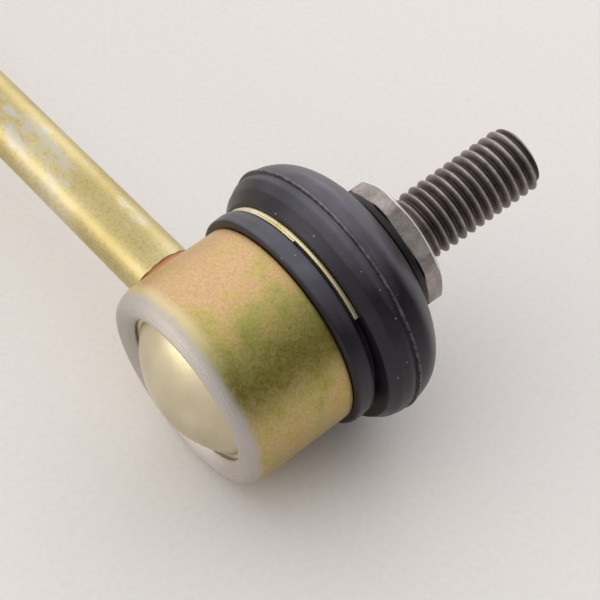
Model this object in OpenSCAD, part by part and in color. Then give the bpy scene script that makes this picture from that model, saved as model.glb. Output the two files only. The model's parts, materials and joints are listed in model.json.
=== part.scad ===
// Stabilizer link: a zinc-plated rod with a sealed ball joint welded to each end.
// Each joint is drawn in its own frame, with the ball's centre at the origin,
// +Z along the housing's axis towards the stud, and +X along the rod, outwards.

/* [Link] */
// Distance between the two ball centres
link_length = 250; // [160:1:420]
// Diameter of the round rod
rod_d = 9.2; // [8:0.1:11]
// How far the weld seam stands out from the rod
weld_size = 0.9; // [0.6:0.1:1.5]

/* [Stud] */
// Diameter of the ball
ball_d = 15; // [13.5:0.1:15.5]
// Diameter of the stud's neck above the ball
neck_d = 8.8; // [7:0.1:9]
// Diameter of the shank inside the boot's neck
shank_d = 10.8; // [9.6:0.1:11.2]
// Major diameter of the thread, M10
thread_d = 9.85; // [8:0.05:10.5]
// Length of the threaded end
thread_length = 19.6; // [12:0.1:30]
// Chamfer at the stud's tip
tip_chamfer = 1; // [0.4:0.1:1.6]
// Hexagon across its flats
hex_af = 17; // [15:0.1:19]
// Height of the hexagon
hex_h = 2.3; // [1.6:0.1:4]
// Height of the round collar under the hexagon
collar_h = 0.55; // [0.3:0.05:1.5]
// Diameter of the round collar under the hexagon
collar_d = 16.8; // [14:0.1:18]
// Distance from the ball's centre to the face that the fastened bracket sits on
seat_height = 27.1; // [26.5:0.1:29]

/* [Joint angles] */
// How far the stud leans up from the housing's axis as it lies
stud_rise = 8; // [0:0.5:14]
// How far the stud leans outwards, away from the rod, as it lies
stud_splay = 5; // [0:0.5:14]

/* [Housing] */
// Outer diameter of the housing
housing_d = 30; // [29.2:0.1:31]
// Ball centre to the start of the rolled rim
housing_back = 8; // [7.6:0.1:9]
// Ball centre to the shoulder that the boot sits on
housing_front = 6.5; // [5.5:0.1:6.8]
// Diameter of the spigot inside the boot's lip
spigot_d = 27.2; // [26:0.1:27.4]
// Height of the spigot above the shoulder
spigot_h = 4.7; // [4.4:0.1:5]
// Radius of the rolled rim
rim_r = 1.7; // [1.2:0.1:2]
// Diameter of the opening inside the rolled rim
rim_opening_d = 22.1; // [20.8:0.1:23]

/* [Cover plate] */
// Thickness of the pressed cover plate
cover_t = 1.2; // [0.8:0.1:1.4]
// Diameter of the dome on the cover plate
dome_d = 20.7; // [17:0.1:20.8]
// Rise of the dome
dome_rise = 4.4; // [2:0.1:5]

/* [Bearing] */
// Wall of the bearing ring around the ball
bearing_wall = 1.8; // [1.2:0.1:2]
// Half angle of the bearing ring's mouth
bearing_mouth = 56; // [54:0.5:60]
// Outer diameter of the lower seat
seat_d = 21.9; // [20.8:0.1:22.2]

/* [Boot] */
// Diameter of the boot at its parting line
boot_d = 38; // [36:0.1:42]
// Ball centre to the parting line
boot_parting = 14.5; // [13.6:0.1:16]
// Thickness of the boot's wall
boot_wall = 1.8; // [1.2:0.1:2]
// Diameter of the boot's lip against the housing
lip_d = 32.2; // [31:0.1:34]
// Height of the boot's lip
lip_h = 2.85; // [2.6:0.05:3]
// Diameter of the sealing ring under the hexagon
seal_d = 18.2; // [16.8:0.1:19]
// Thickness of the sealing ring
seal_h = 1.1; // [0.8:0.05:1.4]

/* [Rings] */
// Width of the flat wire that clamps the boot to the housing
clip_w = 0.8; // [0.5:0.05:0.9]
// Thickness of that wire, measured outwards
clip_t = 1.2; // [0.8:0.05:1.4]
// Gap between the two ends of the clip, as an angle
clip_gap = 66; // [6:1:120]
// Angle at which the clip starts, from the side away from the rod
clip_turn = 24; // [0:1:359]
// Diameter of the round wire that closes the boot's neck
neck_wire_d = 0.84; // [0.6:0.02:0.9]

/* [Fits] */
// Radial clearance of a running fit
running_gap = 0.06; // [0.03:0.01:0.1]
// Clearance between pieces that are seated together
seat_gap = 0.05; // [0.03:0.01:0.1]
// Clearance between rubber and the metal that moves in it
rubber_gap = 0.3; // [0.2:0.05:0.4]

/* [Hidden] */
$fn = 72;
margin = 1;
ball_r = ball_d / 2;
rod_r = rod_d / 2;
housing_r = housing_d / 2;
weld_toe = 1.6;
weld_nose = 3;

// Stud levels, measured along its own axis from the ball's centre
hex_bottom = seat_height - hex_h;
collar_bottom = hex_bottom - collar_h;
seal_top = collar_bottom - seat_gap;
seal_bottom = seal_top - seal_h;
tip_level = seat_height + thread_length;
shank_taper = 2.4;
shank_run = 3.7;
shank_start = seal_bottom - shank_run;
neck_end = shank_start - shank_taper;
hex_chamfer = 0.5;
chamfer_run = 2;

// Bearing: the lower seat and the bearing ring are bored to the ball
bore_r = ball_r + running_gap;
bearing_r = bore_r + bearing_wall;
cavity_r = bearing_r + running_gap;
bearing_low = 88;
swing_room = 20;
lower_seat_top = bearing_r * cos(bearing_low + swing_room) - seat_gap;

// Housing levels, measured along its axis
rim_centre_r = housing_r - rim_r;
rim_edge_rise = 0.5;
rim_edge_t = 0.6;
rim_tip = -housing_back - rim_r + rim_edge_rise;
cover_outer = rim_tip + rim_edge_t + seat_gap;
cover_inner = cover_outer + cover_t;
dome_radius = (dome_d * dome_d / 4 + dome_rise * dome_rise) / (2 * dome_rise);
dome_centre = cover_outer - dome_rise + dome_radius;
dome_inside = dome_radius - cover_t;
rim_lap = 0.9;
cover_r = rim_opening_d / 2 + rim_lap;
pocket_r = cover_r + seat_gap;
seat_r = seat_d / 2;
spigot_top = housing_front + spigot_h;
spigot_r = spigot_d / 2;
mouth_angle = 60;
flare_angle = 24;
mouth_level = cavity_r * cos(mouth_angle);
mouth_r = cavity_r * sin(mouth_angle);
mouth_flare_r = mouth_r + (spigot_top - mouth_level) * tan(flare_angle);
groove_depth = 0.6;

// Boot levels
lip_bottom = housing_front + seat_gap;
lip_top = lip_bottom + lip_h;
lip_r = lip_d / 2;
clip_room = 0.15;
groove_top = lip_top + clip_w + 2 * clip_room;
clip_recess = 0.3;
clip_outer_r = lip_r - clip_recess;
clip_inner_r = clip_outer_r - clip_t;
groove_r = clip_inner_r - seat_gap;
boot_r = boot_d / 2;
lip_round = 0.5;
flare_step = 0.8;
flare_bulge = 0.4;
parting_shoulder = 1.4;
bulge_start = boot_parting + parting_shoulder;
land_cut_r = seal_d / 2 - rubber_gap;
bulge_r = norm([land_cut_r, seal_bottom - rubber_gap]);
pole_angle = 82;
dome_pole_angle = 87;
boot_bore_r = spigot_r + seat_gap;
top_land_r = seal_d / 2;
neck_ring_play = 0.16;
top_land = seal_bottom - neck_wire_d - neck_ring_play;
top_land_t = 0.9;
neck_bore_r = shank_d / 2 + rubber_gap;
neck_tube_t = 1.3;
neck_tube_r = neck_bore_r + neck_tube_t;
land_lap = 0.1;

// Resting pose: each end lies on its rolled rim and on its boot's parting line
rest_dr = boot_r - rim_centre_r;
rest_dw = boot_parting + housing_back;
rest_tilt = atan2(rest_dr, rest_dw) - asin(rim_r / norm([rest_dr, rest_dw]));
centre_height = boot_r * cos(rest_tilt) - boot_parting * sin(rest_tilt);
stud_y = cos(stud_splay) * cos(stud_rise + rest_tilt);
front_reach = tip_level * stud_y + (thread_d / 2 - tip_chamfer) * sqrt(1 - stud_y * stud_y);
rim_reach = housing_back * cos(rest_tilt) + rim_centre_r * sin(rest_tilt) + rim_r;
back_reach = max(rim_reach, dome_radius - dome_centre * cos(rest_tilt));
centre_y = (back_reach - front_reach) / 2;

// Points along an arc in a profile, as radius and level
function arc(cr, cw, r, from, to, steps) =
    [for (i = [0:steps]) let (t = from + (to - from) * i / steps) [cr + r * cos(t), cw + r * sin(t)]];

// A joint in its place at the near end of the rod
module near_end() {
    translate([link_length / 2, centre_y, centre_height]) rotate([rest_tilt - 90, 0, 0]) children();
}

// The far end is the mirror image of the near one
module far_end() {
    mirror([1, 0, 0]) near_end() children();
}

// The stud's own frame, leaning as it lies
module stud_frame() {
    rotate([stud_rise, 0, 0]) rotate([0, stud_splay, 0]) children();
}

// The frame that the bearing ring shares: it follows the rise alone
module swing_frame() {
    rotate([stud_rise, 0, 0]) children();
}

module ring(outer, inner, h) {
    difference() {
        cylinder(r = outer, h = h);
        translate([0, 0, -margin]) cylinder(r = inner, h = h + 2 * margin);
    }
}

// Plain round rod, its ends coped to the housings
module rod() {
    color("khaki") difference() {
        translate([-link_length / 2, centre_y, centre_height])
            rotate([0, 90, 0]) cylinder(r = rod_r, h = link_length);
        near_end() housing_envelope();
        far_end() housing_envelope();
    }
}

module housing_envelope() {
    translate([0, 0, -housing_back - rim_r])
        cylinder(r = housing_r + seat_gap / 2, h = housing_back + rim_r + spigot_top);
}

// Weld seam in the corner between rod and housing
module weld() {
    $fn = 180;
    color("peru") difference() {
        translate([-housing_r - weld_size, 0, 0]) rotate([0, 90, 0])
            cylinder(r1 = rod_r + weld_size / weld_nose, r2 = rod_r + weld_toe * weld_size, h = 2 * weld_size + margin);
        translate([-housing_r - 2 * weld_size, 0, 0]) rotate([0, 90, 0])
            cylinder(r = rod_r + seat_gap / 2, h = housing_r);
        housing_envelope();
    }
}

// Turned housing: rolled rim at the back, spigot and mouth at the front
module housing() {
    rim = arc(rim_centre_r, -housing_back, rim_r, -90, 0, 6);
    outline = concat(
        [[pocket_r - margin, cover_inner], [pocket_r, cover_inner], [pocket_r, cover_outer - seat_gap],
         [rim_opening_d / 2, cover_outer - seat_gap], [rim_opening_d / 2, rim_tip]],
        rim,
        [[housing_r, housing_front], [spigot_r, housing_front],
         [spigot_r, lip_top], [spigot_r - groove_depth, lip_top + seat_gap],
         [spigot_r - groove_depth, groove_top - seat_gap], [spigot_r, groove_top],
         [spigot_r, spigot_top], [mouth_flare_r, spigot_top],
         [mouth_r - margin * tan(flare_angle), mouth_level - margin], [pocket_r - margin, mouth_level - margin]]);
    color("darkkhaki") difference() {
        union() {
            rotate_extrude() polygon(outline);
            translate([0, 0, cover_inner])
                cylinder(r = pocket_r, h = mouth_level - cover_inner);
        }
        sphere(r = cavity_r);
        translate([0, 0, lower_seat_top]) cylinder(r = cavity_r, h = -lower_seat_top);
        translate([0, 0, cover_inner - margin])
            cylinder(r = seat_r + seat_gap, h = lower_seat_top + seat_gap - cover_inner + margin);
    }
}

// Pressed cover plate, domed outwards and held by the rolled rim
module cover_plate() {
    inside_r = sqrt(dome_inside * dome_inside - pow(dome_centre - cover_inner, 2));
    color("tan") rotate_extrude() polygon(concat(
        [[0, cover_outer - dome_rise]],
        arc(0, dome_centre, dome_radius, -dome_pole_angle, -acos(dome_d / 2 / dome_radius), 10),
        [[cover_r, cover_outer], [cover_r, cover_inner]],
        arc(0, dome_centre, dome_inside, -acos(inside_r / dome_inside), -dome_pole_angle, 10),
        [[0, dome_centre - dome_inside]]));
}

// Lower half of the plastic bearing: a cup under the ball, its foot domed to fill the cover plate
module lower_seat() {
    foot = cover_inner + seat_gap;
    color("ivory") difference() {
        union() {
            translate([0, 0, foot]) cylinder(r = seat_r, h = lower_seat_top - foot);
            intersection() {
                translate([0, 0, dome_centre]) sphere(r = dome_inside - seat_gap);
                translate([0, 0, foot - dome_rise]) cylinder(r = seat_r, h = dome_rise + seat_gap);
            }
        }
        sphere(r = bore_r);
    }
}

// Upper half of the plastic bearing: a ring round the ball that keeps it in
module bearing_ring() {
    low = bearing_r * cos(bearing_low);
    high = bearing_r * cos(bearing_mouth);
    color("ivory") swing_frame() difference() {
        intersection() {
            sphere(r = bearing_r);
            translate([0, 0, low]) cylinder(r = bearing_r + margin, h = high - low);
        }
        sphere(r = bore_r);
        cylinder(r1 = 0, r2 = 2 * bearing_r * tan(bearing_mouth), h = 2 * bearing_r);
    }
}

// Forged ball stud: ball, neck, shank, collar, hexagon and threaded end
module ball_stud() {
    thread_r = thread_d / 2;
    hex_corner_r = hex_af / 2 / cos(30);
    color("dimgray") stud_frame() {
        sphere(r = ball_r);
        rotate_extrude() polygon([[0, 0], [neck_d / 2, 0], [neck_d / 2, neck_end],
            [shank_d / 2, shank_start], [shank_d / 2, collar_bottom], [collar_d / 2, collar_bottom],
            [collar_d / 2, hex_bottom + hex_h / 2], [0, hex_bottom + hex_h / 2]]);
        intersection() {
            translate([0, 0, hex_bottom]) rotate([0, 0, 30]) cylinder(r = hex_corner_r, h = hex_h, $fn = 6);
            translate([0, 0, hex_bottom - margin])
                cylinder(r1 = hex_af / 2 - hex_chamfer + (hex_h + margin) * chamfer_run, r2 = hex_af / 2 - hex_chamfer,
                         h = hex_h + margin);
        }
        translate([0, 0, seat_height - margin]) cylinder(r = thread_r, h = thread_length - tip_chamfer + margin);
        translate([0, 0, tip_level - tip_chamfer])
            cylinder(r1 = thread_r, r2 = thread_r - tip_chamfer, h = tip_chamfer);
    }
}

// Rubber boot: lip on the housing, flare to the parting line, bulge up to the stud's neck
module dust_boot() {
    inside_r = bulge_r - boot_wall;
    flare_r = lip_r + flare_step;
    outline = concat(
        [[boot_bore_r, lip_bottom], [lip_r - lip_round, lip_bottom], [lip_r, lip_bottom + lip_round],
         [lip_r, lip_top - lip_round], [lip_r - lip_round, lip_top], [groove_r, lip_top], [groove_r, groove_top],
         [flare_r, groove_top],
         [(flare_r + boot_r) / 2 + flare_bulge, (groove_top + boot_parting) / 2 - flare_bulge], [boot_r, boot_parting]],
        arc(0, 0, bulge_r, asin(bulge_start / bulge_r), pole_angle, 8),
        arc(0, 0, inside_r, pole_angle, asin(bulge_start / inside_r), 8),
        [[boot_r - boot_wall, boot_parting], [boot_bore_r, spigot_top + seat_gap],
         [boot_bore_r, groove_top], [boot_bore_r - groove_depth, groove_top - seat_gap],
         [boot_bore_r - groove_depth, lip_top + seat_gap], [boot_bore_r, lip_top]]);
    color("#3a373c") union() {
        difference() {
            rotate_extrude() polygon(outline);
            stud_frame() cylinder(r = land_cut_r, h = tip_level);
        }
        stud_frame() {
            translate([0, 0, top_land - top_land_t]) ring(top_land_r + land_lap, neck_bore_r, top_land_t);
            translate([0, 0, top_land - top_land_t])
                ring(neck_tube_r, neck_bore_r, seal_bottom - seat_gap - top_land + top_land_t);
        }
    }
}

// Flat wire clip that presses the boot into the housing's groove
module boot_clip() {
    color("palegoldenrod") translate([0, 0, lip_top + clip_room])
        rotate([0, 0, clip_turn])
            rotate_extrude(angle = 360 - clip_gap)
                translate([clip_inner_r, 0]) square([clip_t, clip_w]);
}

// Round wire ring that closes the boot's neck on the stud
module neck_ring() {
    wire_r = neck_wire_d / 2;
    color("silver") stud_frame()
        translate([0, 0, (top_land + seal_bottom) / 2])
            rotate_extrude() translate([neck_tube_r + seat_gap + wire_r, 0]) circle(r = wire_r);
}

// Black sealing ring between the boot's neck and the stud's collar
module seal_ring() {
    color("#222022") stud_frame()
        translate([0, 0, seal_bottom]) ring(seal_d / 2, shank_d / 2 + running_gap, seal_h);
}

rod();
near_end() weld();  // weld_near
near_end() housing();  // housing_near
near_end() cover_plate();  // cover_plate_near
near_end() lower_seat();  // lower_seat_near
near_end() bearing_ring();  // bearing_ring_near
near_end() ball_stud();  // ball_stud_near
near_end() dust_boot();  // dust_boot_near
near_end() boot_clip();  // boot_clip_near
near_end() neck_ring();  // neck_ring_near
near_end() seal_ring();  // seal_ring_near
far_end() weld();  // weld_far
far_end() housing();  // housing_far
far_end() cover_plate();  // cover_plate_far
far_end() lower_seat();  // lower_seat_far
far_end() bearing_ring();  // bearing_ring_far
far_end() ball_stud();  // ball_stud_far
far_end() dust_boot();  // dust_boot_far
far_end() boot_clip();  // boot_clip_far
far_end() neck_ring();  // neck_ring_far
far_end() seal_ring();  // seal_ring_far
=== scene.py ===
"""Looks of a stabilizer link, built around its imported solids.

The link lies on a pale floor. Each ball joint is dressed in its own frame: the ball's centre, the
housing's axis, the stud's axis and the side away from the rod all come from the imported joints.
Sizes in the classes are millimetres, and meshes are in metres. Only the floor's width, the lamps'
widths and the places in the rod's and the housing's finishes are written in metres.
"""

import json
import logging
import math
from dataclasses import dataclass, field
from enum import Enum
from typing import Any, Callable

import bmesh
import bpy
import numpy as np
from mathutils import Matrix, Vector


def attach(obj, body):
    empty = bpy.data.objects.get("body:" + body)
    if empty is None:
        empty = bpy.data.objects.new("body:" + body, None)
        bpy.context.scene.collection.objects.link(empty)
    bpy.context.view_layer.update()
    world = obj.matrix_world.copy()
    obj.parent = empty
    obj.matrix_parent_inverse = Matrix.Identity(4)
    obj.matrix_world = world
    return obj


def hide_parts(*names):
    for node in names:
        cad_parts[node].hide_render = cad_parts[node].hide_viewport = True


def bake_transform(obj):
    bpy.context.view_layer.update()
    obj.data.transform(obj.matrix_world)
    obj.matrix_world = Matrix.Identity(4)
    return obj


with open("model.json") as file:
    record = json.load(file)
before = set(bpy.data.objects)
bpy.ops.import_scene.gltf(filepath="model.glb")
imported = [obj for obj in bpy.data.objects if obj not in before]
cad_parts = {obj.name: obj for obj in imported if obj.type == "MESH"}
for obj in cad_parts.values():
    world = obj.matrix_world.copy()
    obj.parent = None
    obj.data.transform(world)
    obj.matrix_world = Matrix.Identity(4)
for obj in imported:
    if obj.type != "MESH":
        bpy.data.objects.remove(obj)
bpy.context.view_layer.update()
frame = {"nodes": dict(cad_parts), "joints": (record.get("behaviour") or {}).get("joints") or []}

MM = 0.001
ROD_RADIUS = 4.6
HOUSING_RADIUS = 15.0
LOG = logging.getLogger("stabilizer_link")
Point = tuple[float, float]
Profile = list[Point]
Triple = tuple[float, float, float]
Piece = bpy.types.Object
Tree = bpy.types.NodeTree
Node = bpy.types.Node
Socket = bpy.types.NodeSocket
Inputs = dict[str | int, Any]


class End(Enum):
    """The two ends of the link, named as the solids name them."""

    NEAR = "near"
    FAR = "far"


class Coord(Enum):
    """Which coordinates a pattern reads."""

    OBJECT = "Object"
    NORMAL = "Normal"
    GENERATED = "Generated"


def linear(hex_colour: str) -> tuple[float, float, float, float]:
    """Turn an sRGB hex colour into linear light.

    Args:
        hex_colour: A colour such as "#c8b070".

    Returns:
        Red, green, blue and an alpha of one.
    """
    channels = [int(hex_colour[i:i + 2], 16) / 255 for i in (1, 3, 5)]
    light = [c / 12.92 if c <= 0.04045 else ((c + 0.055) / 1.055) ** 2.4 for c in channels]
    return (light[0], light[1], light[2], 1.0)


def per_mm(size: float) -> float:
    """Give the pattern scale, on coordinates in metres, of a feature of this many millimetres."""
    return 1.0 / (size * MM)


def plug(tree: Tree, node: Node, inputs: Inputs) -> None:
    """Set or link a node's inputs.

    Args:
        tree: The tree that holds the node.
        node: The node.
        inputs: Values, sockets or nodes, by input name or index. A node gives its first output in use.
    """
    for name, value in inputs.items():
        if isinstance(value, bpy.types.Node):
            value = next(socket for socket in value.outputs if socket.enabled)
        if isinstance(value, bpy.types.NodeSocket):
            tree.links.new(value, node.inputs[name])
        else:
            node.inputs[name].default_value = value


def put(tree: Tree, kind: str, inputs: Inputs | None = None,
        stops: list[tuple[float, str]] | None = None, **settings: Any) -> Node:
    """Add one node with its settings and links.

    Args:
        tree: The tree that gets the node.
        kind: The node's type name.
        inputs: What its inputs are set or linked to.
        stops: Places and hex colours, for a colour ramp.
        settings: Options of the node itself.

    Returns:
        The new node.
    """
    node = tree.nodes.new(kind)
    for name, value in settings.items():
        setattr(node, name, value)
    plug(tree, node, inputs or {})
    if stops:
        elements = node.color_ramp.elements
        while len(elements) < len(stops):
            elements.new(1.0)
        for element, (place, colour) in zip(elements, stops):
            element.position = place
            element.color = linear(colour)
    return node


@dataclass
class Coat:
    """What a finish's patterns give its shader.

    The colour is always there. Roughness and relief each follow a pattern where one is given, and
    more of the shader's inputs can be set by name.
    """

    colour: Node
    rough: Node | None = None
    relief: Node | None = None
    inputs: Inputs = field(default_factory=dict)


@dataclass(frozen=True)
class Finish:
    """A surface finish: its name, and the settings of its shader.

    Roughness goes from the first value to the second with the coat's pattern, and stays at the first
    without one.
    """

    name: str
    metallic: float = 0.0
    specular: float = 0.5
    rough: tuple[float, float] = (0.5, 0.5)
    relief: float = 0.2
    relief_mm: float = 0.05

    def material(self) -> bpy.types.Material:
        """Make the material once, and hand out the same one afterwards."""
        found = bpy.data.materials.get(self.name)
        if found:
            return found
        made = bpy.data.materials.new(self.name)
        made.use_nodes = True
        tree = made.node_tree
        coat = self.dress(tree, put(tree, "ShaderNodeTexCoord").outputs[Coord.OBJECT.value])
        smooth, coarse = self.rough
        inputs = {"Base Color": coat.colour, "Metallic": self.metallic,
                  "Specular IOR Level": self.specular, "Roughness": smooth}
        if coat.rough:
            inputs["Roughness"] = put(tree, "ShaderNodeMapRange", {
                "Value": coat.rough, "From Min": 0.3, "From Max": 0.7, "To Min": smooth, "To Max": coarse})
        if coat.relief:
            inputs["Normal"] = put(tree, "ShaderNodeBump", {
                "Height": coat.relief, "Strength": self.relief, "Distance": self.relief_mm * MM})
        plug(tree, tree.nodes["Principled BSDF"], inputs | coat.inputs)
        return made

    def dress(self, tree: Tree, place: Socket) -> Coat:
        """Make the finish's own patterns.

        Args:
            tree: The material's tree.
            place: The coordinates that the patterns read.

        Returns:
            What the patterns give the shader.
        """
        raise NotImplementedError


@dataclass(frozen=True)
class ZincRod(Finish):
    """Bright yellow zinc plating on drawn steel bar.

    Passivated zinc is a smooth straw-coloured metal: cloudy at the scale of a centimetre, finely
    speckled, and rubbed to bare silver where parts knock together.
    """

    rough: tuple[float, float] = (0.4, 0.54)
    relief: float = 0.2
    relief_mm: float = 0.05
    cloud_mm: float = 13.0
    speck_mm: float = 0.45
    rub_mm: float = 7.0
    rub_stretch: Triple = (0.5, 1.0, 1.0)
    rub_shift: Triple = (0.0415, 0.0, 0.0)

    def dress(self, tree: Tree, place: Socket) -> Coat:
        """Cloud, speckle and rub the plating."""
        cloud = put(tree, "ShaderNodeTexNoise",
                    {"Vector": place, "Scale": per_mm(self.cloud_mm), "Detail": 3.0, "Roughness": 0.55})
        tint = put(tree, "ShaderNodeValToRGB", {"Fac": cloud},
                   stops=[(0.32, "#b9a973"), (0.5, "#c6b787"), (0.68, "#d4c8a2")])
        speck = put(tree, "ShaderNodeTexNoise",
                    {"Vector": place, "Scale": per_mm(self.speck_mm), "Detail": 2.0})
        shade = put(tree, "ShaderNodeMapRange",
                    {"Value": speck, "From Min": 0.3, "From Max": 0.55, "To Min": 0.8, "To Max": 1.02})
        toned = put(tree, "ShaderNodeVectorMath", {0: tint, "Scale": shade}, operation="SCALE")
        streaked = put(tree, "ShaderNodeVectorMath", {0: place, 1: self.rub_stretch, 2: self.rub_shift},
                       operation="MULTIPLY_ADD")
        rub = put(tree, "ShaderNodeTexNoise",
                  {"Vector": streaked, "Scale": per_mm(self.rub_mm), "Detail": 7.0, "Roughness": 0.7})
        bare = put(tree, "ShaderNodeMapRange",
                   {"Value": rub, "From Min": 0.56, "From Max": 0.64, "To Max": 0.85})
        colour = put(tree, "ShaderNodeMix", {"Factor": bare, "A": toned, "B": linear("#c3bfb4")},
                     data_type="RGBA")
        return Coat(colour, rough=speck, relief=speck)


@dataclass(frozen=True)
class ChromateHousing(Finish):
    """Iridescent yellow chromate on a turned steel housing.

    The passivate film is thin enough to show interference colours, so tan drifts into pink, olive
    and green. The colours also run across the housing in one fixed direction, which paints light as
    a pale tan near the rod and paints reflected shade as a darker olive band across the middle.
    Rolling the rim rubs the film off and leaves grey steel.
    """

    relief: float = 0.25
    relief_mm: float = 0.05
    drift_mm: float = 5.5
    grain_mm: float = 0.36
    film_and_shade_middle: Triple = (0.125, 0.0, 0.0162)
    film_and_shade_way: Triple = (0.867, 0.0, -0.498)
    film_and_shade_reach: float = 15.0
    film_wave: float = 1.1
    wear_name: str = "rim_wear"

    def dress(self, tree: Tree, place: Socket) -> Coat:
        """Drift the film's colours, run them across the housing as painted light and shade, then wear the
        rim to steel.
        """
        drift = put(tree, "ShaderNodeTexNoise",
                    {"Vector": place, "Scale": per_mm(self.drift_mm), "Detail": 5.0, "Roughness": 0.66,
                     "Distortion": 0.4})
        # Painted light and shade: besides the drifting film colours, the film runs in one fixed direction,
        # so the part near the rod is a lit pale tan and the middle a darker olive band of painted reflected
        # shade.
        mirrored = put(tree, "ShaderNodeVectorMath", {0: place}, operation="ABSOLUTE")
        centred = put(tree, "ShaderNodeVectorMath", {0: mirrored, 1: self.film_and_shade_middle},
                      operation="SUBTRACT")
        round_way = put(tree, "ShaderNodeVectorMath", {0: centred, 1: self.film_and_shade_way},
                        operation="DOT_PRODUCT")
        film_and_shade_spread = put(tree, "ShaderNodeMapRange",
                     {"Value": round_way, "From Min": -self.film_and_shade_reach * MM,
                      "From Max": self.film_and_shade_reach * MM}, clamp=False)
        waved = put(tree, "ShaderNodeMath", {0: drift, 1: self.film_wave, 2: film_and_shade_spread},
                    operation="MULTIPLY_ADD")
        thick = put(tree, "ShaderNodeMath", {0: waved, 1: self.film_wave / 2}, operation="SUBTRACT")
        film = put(tree, "ShaderNodeValToRGB", {"Fac": thick},
                   stops=[(0.0, "#d2b27e"), (0.16, "#d6b08a"), (0.28, "#d2b47c"), (0.42, "#c0b06c"),
                          (0.52, "#b0aa62"), (0.66, "#a4964e"), (0.8, "#b4a865"), (0.92, "#c2a878"),
                          (1.0, "#bfa565")])
        grain = put(tree, "ShaderNodeTexNoise",
                    {"Vector": place, "Scale": per_mm(self.grain_mm), "Detail": 3.0})
        shade = put(tree, "ShaderNodeMapRange",
                    {"Value": grain, "From Min": 0.3, "From Max": 0.65, "To Min": 0.82, "To Max": 1.08})
        toned = put(tree, "ShaderNodeVectorMath", {0: film, "Scale": shade}, operation="SCALE")
        wear = put(tree, "ShaderNodeAttribute", attribute_name=self.wear_name).outputs["Fac"]
        ragged = put(tree, "ShaderNodeMath", {0: drift, 1: 0.35, 2: wear}, operation="MULTIPLY_ADD")
        rubbed = put(tree, "ShaderNodeMapRange", {"Value": ragged, "From Min": 0.2, "From Max": 0.5})
        upper = put(tree, "ShaderNodeMapRange",
                    {"Value": film_and_shade_spread, "From Min": 0.3, "From Max": 0.6, "To Min": 0.75, "To Max": 0.0})
        thin = put(tree, "ShaderNodeMath", {0: rubbed, 1: upper}, operation="MULTIPLY")
        paler = put(tree, "ShaderNodeMix", {"Factor": thin, "A": toned, "B": linear("#dfcfa6")},
                    data_type="RGBA")
        bare = put(tree, "ShaderNodeMapRange", {"Value": ragged, "From Min": 0.62, "From Max": 0.88})
        colour = put(tree, "ShaderNodeMix", {"Factor": bare, "A": paler, "B": linear("#bdb7b1")},
                     data_type="RGBA")
        rough = put(tree, "ShaderNodeMapRange",
                    {"Value": grain, "From Min": 0.3, "From Max": 0.7, "To Min": 0.36, "To Max": 0.5})
        dull = put(tree, "ShaderNodeMath", {0: bare, 1: 0.13, 2: rough}, operation="MULTIPLY_ADD")
        return Coat(colour, relief=grain, inputs={"Roughness": dull})


@dataclass(frozen=True)
class PressedCover(Finish):
    """Pale zinc on a cover pressed from sheet: satin champagne metal with a few handling marks."""

    rough: tuple[float, float] = (0.33, 0.46)
    relief: float = 0.18
    relief_mm: float = 0.05
    cloud_mm: float = 8.0
    grain_mm: float = 0.4
    mark_mm: float = 3.0

    def dress(self, tree: Tree, place: Socket) -> Coat:
        """Cloud the plating and add grain and handling marks."""
        cloud = put(tree, "ShaderNodeTexNoise",
                    {"Vector": place, "Scale": per_mm(self.cloud_mm), "Detail": 3.0})
        tint = put(tree, "ShaderNodeValToRGB", {"Fac": cloud},
                   stops=[(0.3, "#c3b798"), (0.5, "#cfc4a8"), (0.7, "#dbd2b9")])
        grain = put(tree, "ShaderNodeTexNoise",
                    {"Vector": place, "Scale": per_mm(self.grain_mm), "Detail": 3.0})
        marks = put(tree, "ShaderNodeTexVoronoi", {"Vector": place, "Scale": per_mm(self.mark_mm)},
                    feature="DISTANCE_TO_EDGE")
        scuff = put(tree, "ShaderNodeMapRange",
                    {"Value": marks, "From Max": 0.03, "To Min": 0.12, "To Max": 0.0})
        height = put(tree, "ShaderNodeMath", {0: grain, 1: scuff}, operation="SUBTRACT")
        return Coat(tint, rough=grain, relief=height)


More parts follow.
